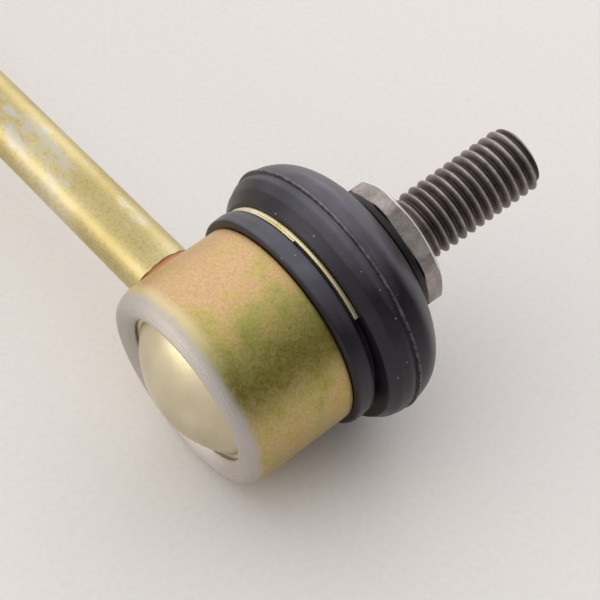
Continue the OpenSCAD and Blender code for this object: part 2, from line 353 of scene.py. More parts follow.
@dataclass(frozen=True)
class BootRubber(Finish):
    """Moulded black rubber: satin, faintly violet where it has bloomed, with specks of dust on it."""

    rough: tuple[float, float] = (0.3, 0.44)
    relief: float = 0.2
    relief_mm: float = 0.06
    bloom_mm: float = 9.0
    skin_mm: float = 0.6
    speck_mm: float = 2.4
    dust_and_sheen: float = 0.45
    flash_name: str = "mould_flash"

    def dress(self, tree: Tree, place: Socket) -> Coat:
        """Bloom, texture and dust the rubber, paint a pale sheen with the dust on its upward faces, and
        scuff the mould's parting line.
        """
        bloom = put(tree, "ShaderNodeTexNoise",
                    {"Vector": place, "Scale": per_mm(self.bloom_mm), "Detail": 4.0, "Roughness": 0.6})
        tint = put(tree, "ShaderNodeValToRGB", {"Fac": bloom},
                   stops=[(0.3, "#131115"), (0.5, "#1a171c"), (0.66, "#231f27"), (0.8, "#2f242a")])
        # Dust and painted sheen: faces that point upwards are mixed towards pale violet grey, partly
        # settled dust and partly a painted sheen of their reflection.
        facing = put(tree, "ShaderNodeTexCoord").outputs[Coord.NORMAL.value]
        upward = put(tree, "ShaderNodeSeparateXYZ", {"Vector": facing})
        film = put(tree, "ShaderNodeMapRange",
                   {"Value": upward.outputs["Z"], "From Min": 0.6, "From Max": 1.0, "To Max": self.dust_and_sheen})
        patchy = put(tree, "ShaderNodeMath", {0: film, 1: bloom}, operation="MULTIPLY")
        dust_and_sheen_tint = put(tree, "ShaderNodeMix", {"Factor": patchy, "A": tint, "B": linear("#b2b0c0")},
                    data_type="RGBA")
        dust = put(tree, "ShaderNodeTexVoronoi", {"Vector": place, "Scale": per_mm(self.speck_mm)})
        speck = put(tree, "ShaderNodeMapRange",
                    {"Value": dust, "From Min": 0.035, "From Max": 0.06, "To Min": 0.6, "To Max": 0.0})
        skin = put(tree, "ShaderNodeTexNoise",
                   {"Vector": place, "Scale": per_mm(self.skin_mm), "Detail": 3.0})
        flash = put(tree, "ShaderNodeAttribute", attribute_name=self.flash_name).outputs["Fac"]
        scuffed = put(tree, "ShaderNodeMapRange",
                      {"Value": skin, "From Min": 0.4, "From Max": 0.62, "To Max": flash})
        pale = put(tree, "ShaderNodeMath", {0: speck, 1: scuffed}, operation="MAXIMUM")
        colour = put(tree, "ShaderNodeMix", {"Factor": pale, "A": dust_and_sheen_tint, "B": linear("#b9b4b2")},
                     data_type="RGBA")
        return Coat(colour, rough=bloom, relief=skin, inputs={"Specular Tint": linear("#e8e3f4")})


@dataclass(frozen=True)
class SealRubber(Finish):
    """Dense black sealing rubber: darker than the boot, with a dull, even skin."""

    rough: tuple[float, float] = (0.45, 0.45)
    relief: float = 0.2
    relief_mm: float = 0.05
    skin_mm: float = 0.5

    def dress(self, tree: Tree, place: Socket) -> Coat:
        """Give the ring its dull skin."""
        grain = put(tree, "ShaderNodeTexNoise",
                    {"Vector": place, "Scale": per_mm(self.skin_mm), "Detail": 3.0})
        tint = put(tree, "ShaderNodeValToRGB", {"Fac": grain}, stops=[(0.3, "#151314"), (0.7, "#231f21")])
        return Coat(tint, relief=grain)


@dataclass(frozen=True)
class SpringWire(Finish):
    """Rolled spring wire with pale gold plating: bright, with drawing lines too fine to see."""

    rough: tuple[float, float] = (0.2, 0.34)
    cloud_mm: float = 4.0

    def dress(self, tree: Tree, place: Socket) -> Coat:
        """Cloud the plating."""
        cloud = put(tree, "ShaderNodeTexNoise",
                    {"Vector": place, "Scale": per_mm(self.cloud_mm), "Detail": 4.0})
        tint = put(tree, "ShaderNodeValToRGB", {"Fac": cloud},
                   stops=[(0.3, "#d6c98f"), (0.5, "#e8deb8"), (0.7, "#f6f1de")])
        return Coat(tint, rough=cloud)


@dataclass(frozen=True)
class StudSteel(Finish):
    """Heat-treated forged steel: warm grey and grainy, bright on rolled thread crests, with painted shade
    in the roots.
    """

    rough: tuple[float, float] = (0.38, 0.58)
    relief: float = 0.4
    relief_mm: float = 0.06
    grain_mm: float = 0.35
    stain_mm: float = 2.2
    depth_name: str = "thread_depth"
    highlight_name: str = "painted_edge_highlight"

    def dress(self, tree: Tree, place: Socket) -> Coat:
        """Grain and stain the steel, paint shade into the thread's roots and a highlight on the hexagon's
        top edge.
        """
        stain = put(tree, "ShaderNodeTexNoise",
                    {"Vector": place, "Scale": per_mm(self.stain_mm), "Detail": 5.0, "Roughness": 0.65})
        grain = put(tree, "ShaderNodeTexNoise",
                    {"Vector": place, "Scale": per_mm(self.grain_mm), "Detail": 4.0, "Roughness": 0.7})
        both = put(tree, "ShaderNodeMath", {0: stain, 1: grain}, operation="ADD")
        half = put(tree, "ShaderNodeMath", {0: both, 1: 0.5}, operation="MULTIPLY")
        tint = put(tree, "ShaderNodeValToRGB", {"Fac": half},
                   stops=[(0.34, "#857c79"), (0.5, "#aaa2a0"), (0.66, "#c9c2c0")])
        # Painted shade: the thread's roots are darkened by their depth, for the shade that falls in them.
        depth = put(tree, "ShaderNodeAttribute", attribute_name=self.depth_name).outputs["Fac"]
        painted_root_shade = put(tree, "ShaderNodeValToRGB", {"Fac": depth},
                   stops=[(0.0, "#f5f2f1"), (0.3, "#d9d4d3"), (0.65, "#aca6a5"), (1.0, "#7f7878")])
        root_shaded_tint = put(tree, "ShaderNodeMix", {"Factor": 1.0, "A": tint, "B": painted_root_shade}, data_type="RGBA",
                    blend_type="MULTIPLY")
        # Painted highlight: a thin bright line along the hexagon's top edge.
        edge = put(tree, "ShaderNodeAttribute", attribute_name=self.highlight_name).outputs["Fac"]
        colour = put(tree, "ShaderNodeMix", {"Factor": edge, "A": root_shaded_tint, "B": linear("#f4efea")},
                     data_type="RGBA")
        return Coat(colour, rough=grain, relief=grain)


@dataclass(frozen=True)
class WeldTint(Finish):
    """Heat-tinted weld under thin plating: copper, with a burnt brown line along the rod."""

    rough: tuple[float, float] = (0.45, 0.45)
    relief: float = 0.4
    relief_mm: float = 0.1
    tint_mm: float = 1.6
    uneven: float = 0.4
    toe_name: str = "weld_toe"

    def dress(self, tree: Tree, place: Socket) -> Coat:
        """Shade the tint from the housing's side to the rod's, unevenly along the seam."""
        heat = put(tree, "ShaderNodeTexNoise",
                   {"Vector": place, "Scale": per_mm(self.tint_mm), "Detail": 4.0})
        toe = put(tree, "ShaderNodeAttribute", attribute_name=self.toe_name).outputs["Fac"]
        patchy = put(tree, "ShaderNodeMath", {0: heat, 1: self.uneven, 2: toe}, operation="MULTIPLY_ADD")
        burnt = put(tree, "ShaderNodeMath", {0: patchy, 1: self.uneven / 2}, operation="SUBTRACT")
        tint = put(tree, "ShaderNodeValToRGB", {"Fac": burnt},
                   stops=[(0.0, "#c79a66"), (0.3, "#c98c5a"), (0.66, "#b0703a"), (0.86, "#6b431a"),
                          (1.0, "#4a2e0e")])
        return Coat(tint, relief=heat)


@dataclass(frozen=True)
class BearingPlastic(Finish):
    """Moulded acetal: milky white and waxy."""

    rough: tuple[float, float] = (0.35, 0.35)
    cloud_mm: float = 3.0

    def dress(self, tree: Tree, place: Socket) -> Coat:
        """Cloud the plastic."""
        cloud = put(tree, "ShaderNodeTexNoise", {"Vector": place, "Scale": per_mm(self.cloud_mm)})
        tint = put(tree, "ShaderNodeValToRGB", {"Fac": cloud}, stops=[(0.3, "#dcd8c8"), (0.7, "#ece8da")])
        return Coat(tint)


@dataclass(frozen=True)
class FloorPaper(Finish):
    """Pale matt paper under the part, with a faint tooth."""

    rough: tuple[float, float] = (0.9, 0.9)
    relief: float = 0.1
    relief_mm: float = 0.08
    tooth_mm: float = 0.9

    def dress(self, tree: Tree, place: Socket) -> Coat:
        """Give the paper its tooth."""
        tooth = put(tree, "ShaderNodeTexNoise",
                    {"Vector": place, "Scale": per_mm(self.tooth_mm), "Detail": 4.0})
        tint = put(tree, "ShaderNodeValToRGB", {"Fac": tooth}, stops=[(0.3, "#f0ecea"), (0.7, "#f5f1ef")])
        return Coat(tint, relief=tooth)


ROD_FINISH = ZincRod("yellow_zinc_bar", metallic=1.0)
HOUSING_FINISH = ChromateHousing("iridescent_chromate_steel", metallic=0.95)
COVER_FINISH = PressedCover("pale_zinc_sheet", metallic=1.0)
BOOT_FINISH = BootRubber("moulded_black_rubber", specular=0.4)
SEAL_FINISH = SealRubber("dense_seal_rubber", specular=0.4)
CLIP_FINISH = SpringWire("pale_gold_spring_wire", metallic=0.75)
STUD_FINISH = StudSteel("forged_stud_steel", metallic=0.9)
WELD_FINISH = WeldTint("heat_tinted_weld", metallic=0.4)
BEARING_FINISH = BearingPlastic("moulded_acetal")
FLOOR_FINISH = FloorPaper("pale_paper", specular=0.2)


def joint_named(name: str) -> dict:
    """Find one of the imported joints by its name."""
    return next(j for j in frame["joints"] if j["name"] == name)


def local_frame(centre: Vector, axis: Vector, outward: Vector) -> Matrix:
    """Make the matrix from millimetres in a piece's own frame to metres in the link's frame.

    Args:
        centre: The frame's origin.
        axis: Its +Z direction.
        outward: The direction that +X leans to.

    Returns:
        A matrix with no mirroring in it.
    """
    z = axis.normalized()
    x = (outward - z * outward.dot(z)).normalized()
    y = z.cross(x)
    turned = Matrix((x, y, z)).transposed() * MM
    return Matrix.Translation(centre) @ turned.to_4x4()


class JointFrame:
    """Where one ball joint is and how its axes lie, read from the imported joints."""

    def __init__(self, end: End) -> None:
        """Read one end's joints.

        Args:
            end: Which end of the link.
        """
        self.end = end
        swing, splay, spin = (joint_named(self.named(kind)) for kind in ("swing", "splay", "spin"))
        self.centre = Vector(swing["pos_m"])
        self.outward = Vector((math.copysign(1.0, self.centre.x), 0.0, 0.0))
        self.stud_axis = Vector(spin["axis"]).normalized()
        rise = -math.radians(sum(swing["range_deg"]) / 2)
        lean = -math.radians(sum(splay["range_deg"]) / 2)
        straight = Matrix.Rotation(-lean, 3, Vector(splay["axis"])) @ self.stud_axis
        self.axis = Matrix.Rotation(-rise, 3, Vector(swing["axis"])) @ straight

    def housing(self) -> Matrix:
        """Give the housing's frame."""
        return local_frame(self.centre, self.axis, self.outward)

    def stud(self) -> Matrix:
        """Give the stud's frame."""
        return local_frame(self.centre, self.stud_axis, self.outward)

    def between(self, share: float) -> Matrix:
        """Give a frame that leans from the housing's axis (0) to the stud's (1)."""
        return local_frame(self.centre, self.axis.lerp(self.stud_axis, share), self.outward)

    def named(self, piece: str) -> str:
        """Add this end's name to a piece's name."""
        return f"{piece}_{self.end.value}"


def arc(radius: float, level: float, r: float, start: float, stop: float, steps: int) -> Profile:
    """List points along an arc in a profile.

    Args:
        radius: The arc centre's distance from the axis.
        level: The arc centre's level.
        r: The arc's own radius.
        start: First angle in degrees, from straight outwards towards +level.
        stop: Last angle in degrees.
        steps: How many steps to take.

    Returns:
        Points as radius and level.
    """
    angles = [math.radians(start + (stop - start) * i / steps) for i in range(steps + 1)]
    return [(radius + r * math.cos(t), level + r * math.sin(t)) for t in angles]


def curve(first: Point, lead: Point, trail: Point, last: Point, steps: int = 28) -> Profile:
    """List points along a cubic curve between two points of a profile, led by two handles."""
    ends = np.array([first, lead, trail, last])
    t = np.linspace(0.0, 1.0, steps + 1)[:, None]
    way = ((1 - t) ** 3 * ends[0] + 3 * t * (1 - t) ** 2 * ends[1] + 3 * t ** 2 * (1 - t) * ends[2]
           + t ** 3 * ends[3])
    return [(float(x), float(y)) for x, y in way]


def rounded(corners: list[Triple], steps: int = 6) -> Profile:
    """Round the corners of a closed outline.

    Args:
        corners: Radius, level and corner radius of each corner.
        steps: Points along each rounded corner.

    Returns:
        The outline's points.
    """
    points: Profile = []
    count = len(corners)
    for i, (x, y, r) in enumerate(corners):
        here = np.array((x, y))
        before = np.array(corners[i - 1][:2]) - here
        after = np.array(corners[(i + 1) % count][:2]) - here
        if r <= 0:
            points.append((x, y))
            continue
        u = before / np.linalg.norm(before)
        v = after / np.linalg.norm(after)
        half = math.acos(float(np.clip(u @ v, -1, 1))) / 2
        reach = min(r / math.tan(half), 0.49 * np.linalg.norm(before), 0.49 * np.linalg.norm(after))
        first, last = here + u * reach, here + v * reach
        for k in range(steps + 1):
            t = k / steps
            p = (1 - t) ** 2 * first + 2 * t * (1 - t) * here + t * t * last
            points.append((float(p[0]), float(p[1])))
    return points


def refined(outline: Profile, step: float, where: Callable[[Point], bool] | None = None) -> Profile:
    """Split a closed outline's long edges.

    Args:
        outline: The outline's points.
        step: The longest edge that is left, in millimetres.
        where: Says by an edge's first point whether it is split. Otherwise all are.

    Returns:
        The outline with more points.
    """
    points: Profile = []
    for i, (x, y) in enumerate(outline):
        nx, ny = outline[(i + 1) % len(outline)]
        split = where is None or where((x, y))
        parts = max(1, math.ceil(math.hypot(nx - x, ny - y) / step)) if split else 1
        points += [(x + (nx - x) * k / parts, y + (ny - y) * k / parts) for k in range(parts)]
    return points


def round_turn(segments: int) -> np.ndarray:
    """Give the angles of a ring's points, once round."""
    return np.linspace(0, 2 * math.pi, segments, endpoint=False)


def saddle(radius: float, turn: np.ndarray) -> np.ndarray:
    """Give how far from the ball's centre the housing's wall lies, along lines beside the rod's axis.

    Args:
        radius: Each line's distance from the rod's axis.
        turn: Angles round the rod, from the housing's axis.

    Returns:
        Distances in millimetres.
    """
    return np.sqrt(HOUSING_RADIUS ** 2 - (radius * np.sin(turn)) ** 2)


def added(name: str, data: bpy.types.ID) -> Piece:
    """Make an object of a mesh, lamp or camera, and put it in the scene."""
    piece = bpy.data.objects.new(name, data)
    bpy.context.scene.collection.objects.link(piece)
    return piece


def ring_points(place: Matrix, radius: np.ndarray | float, level: np.ndarray | float,
                segments: int) -> np.ndarray:
    """Place one ring of points round a frame's axis.

    Args:
        place: The frame, from millimetres.
        radius: One radius, or one for each point.
        level: One level, or one for each point.
        segments: How many points.

    Returns:
        The points in metres.
    """
    turn = round_turn(segments)
    flat = np.stack([radius * np.cos(turn), radius * np.sin(turn),
                     np.broadcast_to(level, (segments,)), np.ones(segments)])
    return (np.array(place) @ flat)[:3].T


def skin(name: str, rings: list[np.ndarray], finish: Finish, closed: bool = True,
         sharp: float = 40.0, marks: dict[str, list[float]] | None = None) -> Piece:
    """Join rings of points into one smooth mesh.

    Args:
        name: The piece's name.
        rings: Rings with the same number of points.
        finish: The piece's finish.
        closed: Whether the last ring joins the first.
        sharp: Edges that bend more than this many degrees stay sharp.
        marks: Values for each ring, kept as a point attribute.

    Returns:
        The new object, at the origin.
    """
    count, segments = len(rings), len(rings[0])
    row = np.arange(count if closed else count - 1)[:, None]
    col = np.arange(segments)[None, :]
    nxt_row, nxt_col = (row + 1) % count, (col + 1) % segments
    corners = [row * segments + col, row * segments + nxt_col,
               nxt_row * segments + nxt_col, nxt_row * segments + col]
    faces = np.stack(corners, -1).reshape(-1, 4)
    mesh = bpy.data.meshes.new(name)
    mesh.from_pydata(np.concatenate(rings).tolist(), [], faces.tolist())
    for key, values in (marks or {}).items():
        layer = mesh.attributes.new(key, "FLOAT", "POINT")
        layer.data.foreach_set("value", np.repeat(np.array(values, np.float32), segments))
    work = bmesh.new()
    work.from_mesh(mesh)
    bmesh.ops.remove_doubles(work, verts=work.verts, dist=1e-7)
    bmesh.ops.recalc_face_normals(work, faces=work.faces)
    work.to_mesh(mesh)
    work.free()
    mesh.shade_smooth()
    mesh.set_sharp_from_angle(angle=math.radians(sharp))
    mesh.materials.append(finish.material())
    return added(name, mesh)


def turned(name: str, outline: Profile, place: Matrix | Callable[[int], Matrix], finish: Finish,
           segments: int = 192, **options: Any) -> Piece:
    """Turn a closed outline round an axis.

    Args:
        name: The piece's name.
        outline: Points as radius and level.
        place: The frame, or a function that gives the frame of each point's ring.
        finish: The piece's finish.
        segments: Points round the axis.
        options: More options of the skin.

    Returns:
        The new object.
    """
    rings = []
    for i, (radius, level) in enumerate(outline):
        here = place(i) if callable(place) else place
        rings.append(ring_points(here, max(radius, 0.0), level, segments))
    return skin(name, rings, finish, **options)


def node_tree(name: str, sizes: dict[str, float]) -> tuple[Tree, bpy.types.NodeOutputs]:
    """Start a Geometry Nodes tree with one named input for each size.

    Args:
        name: The tree's name.
        sizes: Input names and their default values.

    Returns:
        The tree, and its inputs by name.
    """
    tree = bpy.data.node_groups.new(name, "GeometryNodeTree")
    for key, value in sizes.items():
        socket = tree.interface.new_socket(key, in_out="INPUT", socket_type="NodeSocketFloat")
        socket.default_value = value
    tree.interface.new_socket("Geometry", in_out="OUTPUT", socket_type="NodeSocketGeometry")
    return tree, put(tree, "NodeGroupInput").outputs


def close_tree(tree: Tree, shape: Node, finish: Finish) -> None:
    """End a tree in smooth shading, Realize Instances and Set Material."""
    smooth = put(tree, "GeometryNodeSetShadeSmooth", {"Geometry": shape})
    real = put(tree, "GeometryNodeRealizeInstances", {"Geometry": smooth})
    coated = put(tree, "GeometryNodeSetMaterial", {"Geometry": real, "Material": finish.material()})
    put(tree, "NodeGroupOutput", {"Geometry": coated})


def grown(name: str, tree: Tree, sizes: dict[str, float], place: Matrix,
          sharp: float = 50.0) -> Piece:
    """Run a Geometry Nodes tree and keep its result as a plain mesh.

    Args:
        name: The piece's name.
        tree: The tree, in metres in the piece's own frame.
        sizes: Values of its named inputs.
        place: The piece's frame, from millimetres.
        sharp: Edges that bend more than this many degrees stay sharp.

    Returns:
        The new object, at the origin.
    """
    seed = added(name + "_seed", bpy.data.meshes.new(name + "_seed"))
    modifier = seed.modifiers.new("grow", "NODES")
    modifier.node_group = tree
    for item in tree.interface.items_tree:
        if item.in_out == "INPUT" and item.name in sizes:
            modifier[item.identifier] = float(sizes[item.name])
    bpy.context.view_layer.update()
    graph = bpy.context.evaluated_depsgraph_get()
    mesh = bpy.data.meshes.new_from_object(seed.evaluated_get(graph), depsgraph=graph)
    seed.modifiers.remove(modifier)
    bpy.data.objects.remove(seed)
    mesh.name = name
    mesh.transform(place @ Matrix.Scale(1 / MM, 4))
    mesh.set_sharp_from_angle(angle=math.radians(sharp))
    return added(name, mesh)


def finished(piece: Piece, body: str, slot: str, *nodes: str) -> Piece:
    """Let a piece ride on its body, hide the solids that it stands for, and log it.

    Args:
        piece: The finished piece.
        body: The body that it moves with.
        slot: The record's material slot. Not used.
        nodes: Solids that it replaces.

    Returns:
        The same piece.
    """
    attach(piece, body)
    return noted(piece, slot, *nodes)


def noted(piece: Piece, slot: str, *nodes: str) -> Piece:
    """Hide the solids that a piece stands for, and log it."""
    if nodes:
        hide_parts(*nodes)
    LOG.info("%s: %d faces", piece.name, len(piece.data.polygons))
    return piece


@dataclass
class Rod:
    """The plated rod between the joints, with its ends coped to the housings."""

    radius: float = ROD_RADIUS
    sunk: float = 0.4
    segments: int = 128
    step: float = 2.0

    def build(self, near: JointFrame, far: JointFrame) -> Piece:
        """Make the rod.

        Args:
            near: The joint at +X.
            far: The joint at -X.

        Returns:
            The rod, riding on the link.
        """
        place = local_frame(near.centre, Vector((-1.0, 0.0, 0.0)), near.axis)
        span = (near.centre - far.centre).length / MM
        turn = round_turn(self.segments)
        wall = saddle(self.radius, turn) - self.sunk
        count = int(span / self.step)
        rings = [ring_points(place, 0.0, wall, self.segments)]
        for i in range(count + 1):
            share = i / count
            rings.append(ring_points(place, self.radius, wall * (1 - share) + (span - wall) * share,
                                     self.segments))
        rings.append(ring_points(place, 0.0, span - wall, self.segments))
        piece = skin("rod_bar", rings, ROD_FINISH, closed=False)
        return finished(piece, "link", "zinc_rod", "rod")


@dataclass
class Weld:
    """The thin weld seam in the corner between rod and housing."""

    rod_radius: float = ROD_RADIUS
    rod_leg: float = 1.75
    housing_leg: float = 1.2
    ripple: float = 0.035
    waves: tuple[Triple, ...] = ((1.0, 7.0, 0.0), (0.6, 13.0, 1.3), (0.4, 19.0, 0.4))
    hollow: float = 1.35
    sunk: float = 0.12
    segments: int = 160
    steps: int = 10

    def build(self, joint: JointFrame) -> Piece:
        """Make one seam.

        Args:
            joint: The joint that the rod is welded to.

        Returns:
            The seam, riding on the link.
        """
        place = local_frame(joint.centre, -joint.outward, joint.axis)
        turn = round_turn(self.segments)
        wave = sum(size * np.sin(count * turn + shift) for size, count, shift in self.waves)
        uneven = 1 + self.ripple * wave
        shares = [i / self.steps for i in range(self.steps + 1)]
        rings = []
        for t in shares:
            lift = self.housing_leg * uneven * (1 - t) ** self.hollow - self.sunk * (t == 1.0)
            rise = self.rod_leg * uneven * t ** self.hollow
            radius = self.rod_radius + lift
            level = saddle(radius, turn) + rise - self.sunk * (t == 0.0)
            rings.append(ring_points(place, radius, level, self.segments))
        root = self.rod_radius - self.sunk
        rings.append(ring_points(place, root, saddle(root, turn) - self.sunk, self.segments))
        marks = {WELD_FINISH.toe_name: shares + [0.0]}
        piece = skin(joint.named("weld_seam"), rings, WELD_FINISH, sharp=70.0, marks=marks)
        return finished(piece, "link", "weld_seam", joint.named("weld"))


@dataclass
class Housing:
    """The turned housing with its rolled rim, and the cover plate that the rim holds."""

    radius: float = HOUSING_RADIUS
    back: float = 10.0
    rim_bow: float = 0.1
    shoulder: float = 3.2
    shoulder_leads: Triple = (1.0, 0.1, 1.2)
    front: float = 6.5
    rim_round: float = 1.5
    rim_crest: float = 13.0
    film_edge: float = 3.6
    opening: float = 11.0
    opening_level: float = 8.95
    rim_edge: float = 0.38
    pocket: float = 12.0
    pocket_level: float = 7.45
    bore: float = 10.9
    spigot: float = 13.6
    spigot_top: float = 11.2
    mouth: float = 10.6
    throat: float = 2.0
    step: float = 0.5
    line_pitch: float = 0.27
    line_depth: float = 0.034
    line_step: float = 0.08
    line_reach: float = 0.8
    line_inset: float = 0.3
    cover_face: float = 8.55
    cover_thick: float = 1.15
    cover_radius: float = 11.95
    dome_radius: float = 10.35
    dome_rise: float = 4.4

    def outline(self) -> Profile:
        """Give the housing's closed outline."""
        lip, back, top = -self.opening_level, -self.back - self.rim_bow, self.rim_crest
        reach, fall = top - self.opening, lip - back
        tube = (reach ** 2 + fall ** 2) / (2 * fall)
        bend = math.degrees(math.asin(reach / tube))
        inner = arc(top, back + tube, tube, -90.0 - bend, -90.0, 20)
        out, short, up = self.shoulder_leads
        outer = curve((top, back), (top + out, back), (self.radius - short, back + up),
                      (self.radius, back + self.shoulder))
        body = rounded([
            (self.radius, back + self.shoulder, 0.0), (self.radius, self.front, 0.22),
            (self.spigot, self.front, 0.1), (self.spigot, self.spigot_top, 0.3),
            (self.mouth, self.spigot_top, 0.3), (self.bore - self.throat, self.front - self.throat, 0.0),
            (self.bore, -self.pocket_level, 0.0), (self.pocket, -self.pocket_level, 0.0),
            (self.pocket, lip + self.rim_edge, 0.0), (self.opening, lip + self.rim_edge, 0.1)], steps=10)
        return inner + outer[1:] + body[1:]

    def on_rim(self, point: Point) -> bool:
        """Say whether a point of the outline is on the rolled rim."""
        radius, level = point
        return level < -self.back + self.rim_round and radius > self.opening

    def scored(self, point: Point) -> Point:
        """Move a point of the rim's face by the turning lines in it."""
        radius, level = point
        if level < -self.back + self.line_reach and radius > self.opening + self.line_inset:
            level += self.line_depth * math.sin(2 * math.pi * radius / self.line_pitch)
        return radius, level

    def wear(self, point: Point) -> float:
        """Say how far the rim's rolling has bared the steel at a point of the outline."""
        radius, level = point
        if radius < self.radius - self.rim_round and level < 0:
            return 1.0
        past = (-level - self.back + self.film_edge) / self.film_edge
        return max(0.0, past) if level < 0 else 0.0

    def build(self, joint: JointFrame) -> list[Piece]:
        """Make the housing and its cover plate.

        Args:
            joint: The joint that they belong to.

        Returns:
            Both pieces, riding on the link.
        """
        fine = refined(refined(self.outline(), self.step), self.line_step, self.on_rim)
        lined = [self.scored(point) for point in fine]
        marks = {HOUSING_FINISH.wear_name: [self.wear(p) for p in lined]}
        shell = turned(joint.named("housing_shell"), lined, joint.housing(), HOUSING_FINISH,
                       segments=224, marks=marks)
        finished(shell, "link", "zinc_housing", joint.named("housing"))
        return [shell, self.cover(joint)]

    def cover(self, joint: JointFrame) -> Piece:
        """Make the domed cover plate."""
        rise, base, face = self.dome_rise, self.dome_radius, -self.cover_face
        ball = (base ** 2 + rise ** 2) / (2 * rise)
        half = math.degrees(math.asin(base / ball))
        centre = face - rise + ball
        dome = arc(0.0, centre, ball, -90.0, -90.0 + half, 40)
        step = [(base + 0.12, face + 0.06), (base + 0.3, face + 0.02)]
        edge = [(self.cover_radius - 0.1, face), (self.cover_radius, face + 0.1),
                (self.cover_radius, face + self.cover_thick)]
        inner = ball - self.cover_thick
        under = arc(0.0, centre, inner, -90.0 + half * 0.95, -90.0, 16)
        outline = dome + step + edge + under
        plate = turned(joint.named("cover_disc"), outline, joint.housing(), COVER_FINISH,
                       segments=160, sharp=30.0, closed=False)
        return finished(plate, "link", "zinc_cover", joint.named("cover_plate"))


@dataclass
class DustBoot:
    """The rubber boot, its clip, and the ring that seals it under the stud's hexagon.

    The boot is two meshes that meet on its bulge.
    """

    bore: float = 13.65
    lip_low: float = 6.55
    lip_high: float = 9.4
    lip: float = 16.15
    groove: float = 14.5
    groove_high: float = 10.5
    parting: float = 18.84
    pull: float = 0.65
    parting_level: float = 14.5
    bead: float = 0.16
    scuff: float = 0.2
    step: float = 0.45
    wall: float = 1.7
    land: float = 22.05
    flare_foot: float = 16.9
    flare: tuple[Point, Point] = ((18.1, 11.9), (18.66, 13.3))
    bulge_lead: float = 17.6
    bulge_trail: Point = (15.4, 21.7)
    crown: Point = (9.7, 22.85)
    fold: Point = (15.4, 11.9)
    foot: float = 11.3
    roof: Point = (15.3, 18.1)
    roof_edge: float = 10.5
    split: float = 16.5
    bend_gap: float = 0.6
    bend_top: float = 20.6
    neck: float = 7.0
    neck_bore: float = 5.75
    neck_top: float = 23.0
    seal_radius: float = 9.1
    seal_bore: float = 5.46
    seal_low: float = 23.12
    seal_high: float = 24.2
    clip_radius: float = 15.3
    clip_level: float = 9.95
    clip_wide: float = 0.95
    clip_thick: float = 1.15
    clip_start: float = 24.0
    clip_sweep: float = 294.0
    clip_short: float = 248.0
    clip_round: float = 0.1
    wire: float = 0.42
    wire_radius: float = 7.46
    wire_level: float = 22.6
    segments: int = 224

    def bulge(self) -> tuple[Profile, Profile]:
        """Give the outer curve from the parting line to the crown, cut in two where the meshes meet."""
        p, w = self.parting, self.parting_level
        whole = curve((p - 0.1, w + 0.26), (p - 0.05, self.bulge_lead), self.bulge_trail, self.crown)
        count = sum(level < self.split for _, level in whole)
        return whole[:count], whole[count - 1:]

    def lower(self) -> Profile:
        """Give the closed outline of the boot from its lip to where the meshes meet."""
        p, w = self.parting, self.parting_level
        skirt = rounded([
            (self.bore, self.lip_low, 0.0), (self.lip - 0.1, self.lip_low, 0.5),
            (self.lip, self.lip_low + 1.6, 0.6), (self.lip - 0.15, self.lip_high, 0.45),
            (self.groove, self.lip_high + 0.05, 0.15), (self.groove, self.groove_high, 0.15),
            (self.flare_foot, self.groove_high + 0.05, 0.35), *((*point, 1.2) for point in self.flare),
            (p - 0.25, w - 0.24, 0.08), (p + self.bead - 0.05, w - 0.14, 0.05), (p + self.bead, w, 0.0),
            (p + self.bead - 0.05, w + 0.14, 0.05), (p - 0.1, w + 0.26, 0.0)])
        start, _ = self.bulge()
        radius, level = start[-1]
        inside = [(radius - self.wall, level), (p - self.wall, w), self.fold, (self.bore, self.foot)]
        return skirt + start[1:] + inside

    def upper(self) -> Profile:
        """Give the closed outline of the boot from where the meshes meet to its neck."""
        _, rest = self.bulge()
        radius, level = rest[0]
        edge, top = self.crown
        neck = rounded([
            (edge - 0.3, top, 0.1), (edge - 0.4, self.land, 0.15), (self.neck, self.land, 0.2),
            (self.neck, self.neck_top, 0.1), (self.neck_bore, self.neck_top, 0.1),
            (self.neck_bore, self.land - 0.2, 0.1), (self.roof_edge, self.land - 1.6, 1.0),
            (*self.roof, 1.0), (radius - self.wall, level, 0.0)])
        return rest + neck

    def hang(self, joint: JointFrame, point: Point) -> Matrix:
        """Give the frame of one of the boot's rings.

        Above the parting line the rings lean over to the stud. Below it the skirt hangs outwards and
        down over the clip.

        Args:
            joint: The joint that the boot belongs to.
            point: The ring's radius and level.

        Returns:
            The ring's frame.
        """
        radius, level = point
        if level > self.parting_level:
            return joint.between(self.lean(level))
        share = (self.parting_level - level) / (self.parting_level - self.groove_high)
        if radius < self.lip or not 0.0 < share <= 1.0:
            return joint.housing()
        move = (joint.outward + Vector((0.0, 0.0, -1.0))).normalized() * self.pull * share * MM
        return Matrix.Translation(move) @ joint.housing()

    def shell(self, joint: JointFrame, name: str, outline: Profile) -> Piece:
        """Turn one of the boot's two meshes, with the bead on its parting line marked as scuffed."""
        fine = refined(outline, self.step)
        bead = self.parting + self.bead / 2
        marks = {BOOT_FINISH.flash_name: [self.scuff if radius > bead else 0.0 for radius, _ in fine]}
        return turned(joint.named(name), fine, lambda i: self.hang(joint, fine[i]), BOOT_FINISH,
                      self.segments, sharp=55.0, marks=marks)

    def lean(self, level: float) -> float:
        """Say how far a ring leans from the housing's axis to the stud's, by its level."""
        t = (level - self.parting_level) / (self.land - 1.0 - self.parting_level)
        t = min(1.0, max(0.0, t))
        return t * t * (3 - 2 * t)

    def build(self, joint: JointFrame) -> list[Piece]:
        """Make the boot, its clip, its neck ring and its sealing ring.

        Args:
            joint: The joint that they belong to.

        Returns:
            The pieces. All but the boot's two meshes ride on their bodies.
        """
        skirt = self.shell(joint, "boot_skirt", self.lower())
        crown = self.shell(joint, "boot_crown", self.upper())
        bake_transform(skirt)
        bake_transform(crown)
        noted(skirt, "boot_rubber", joint.named("dust_boot"))
        noted(crown, "boot_rubber")
        return [skirt, crown, self.clip(joint), self.neck_wire(joint), self.seal(joint)]

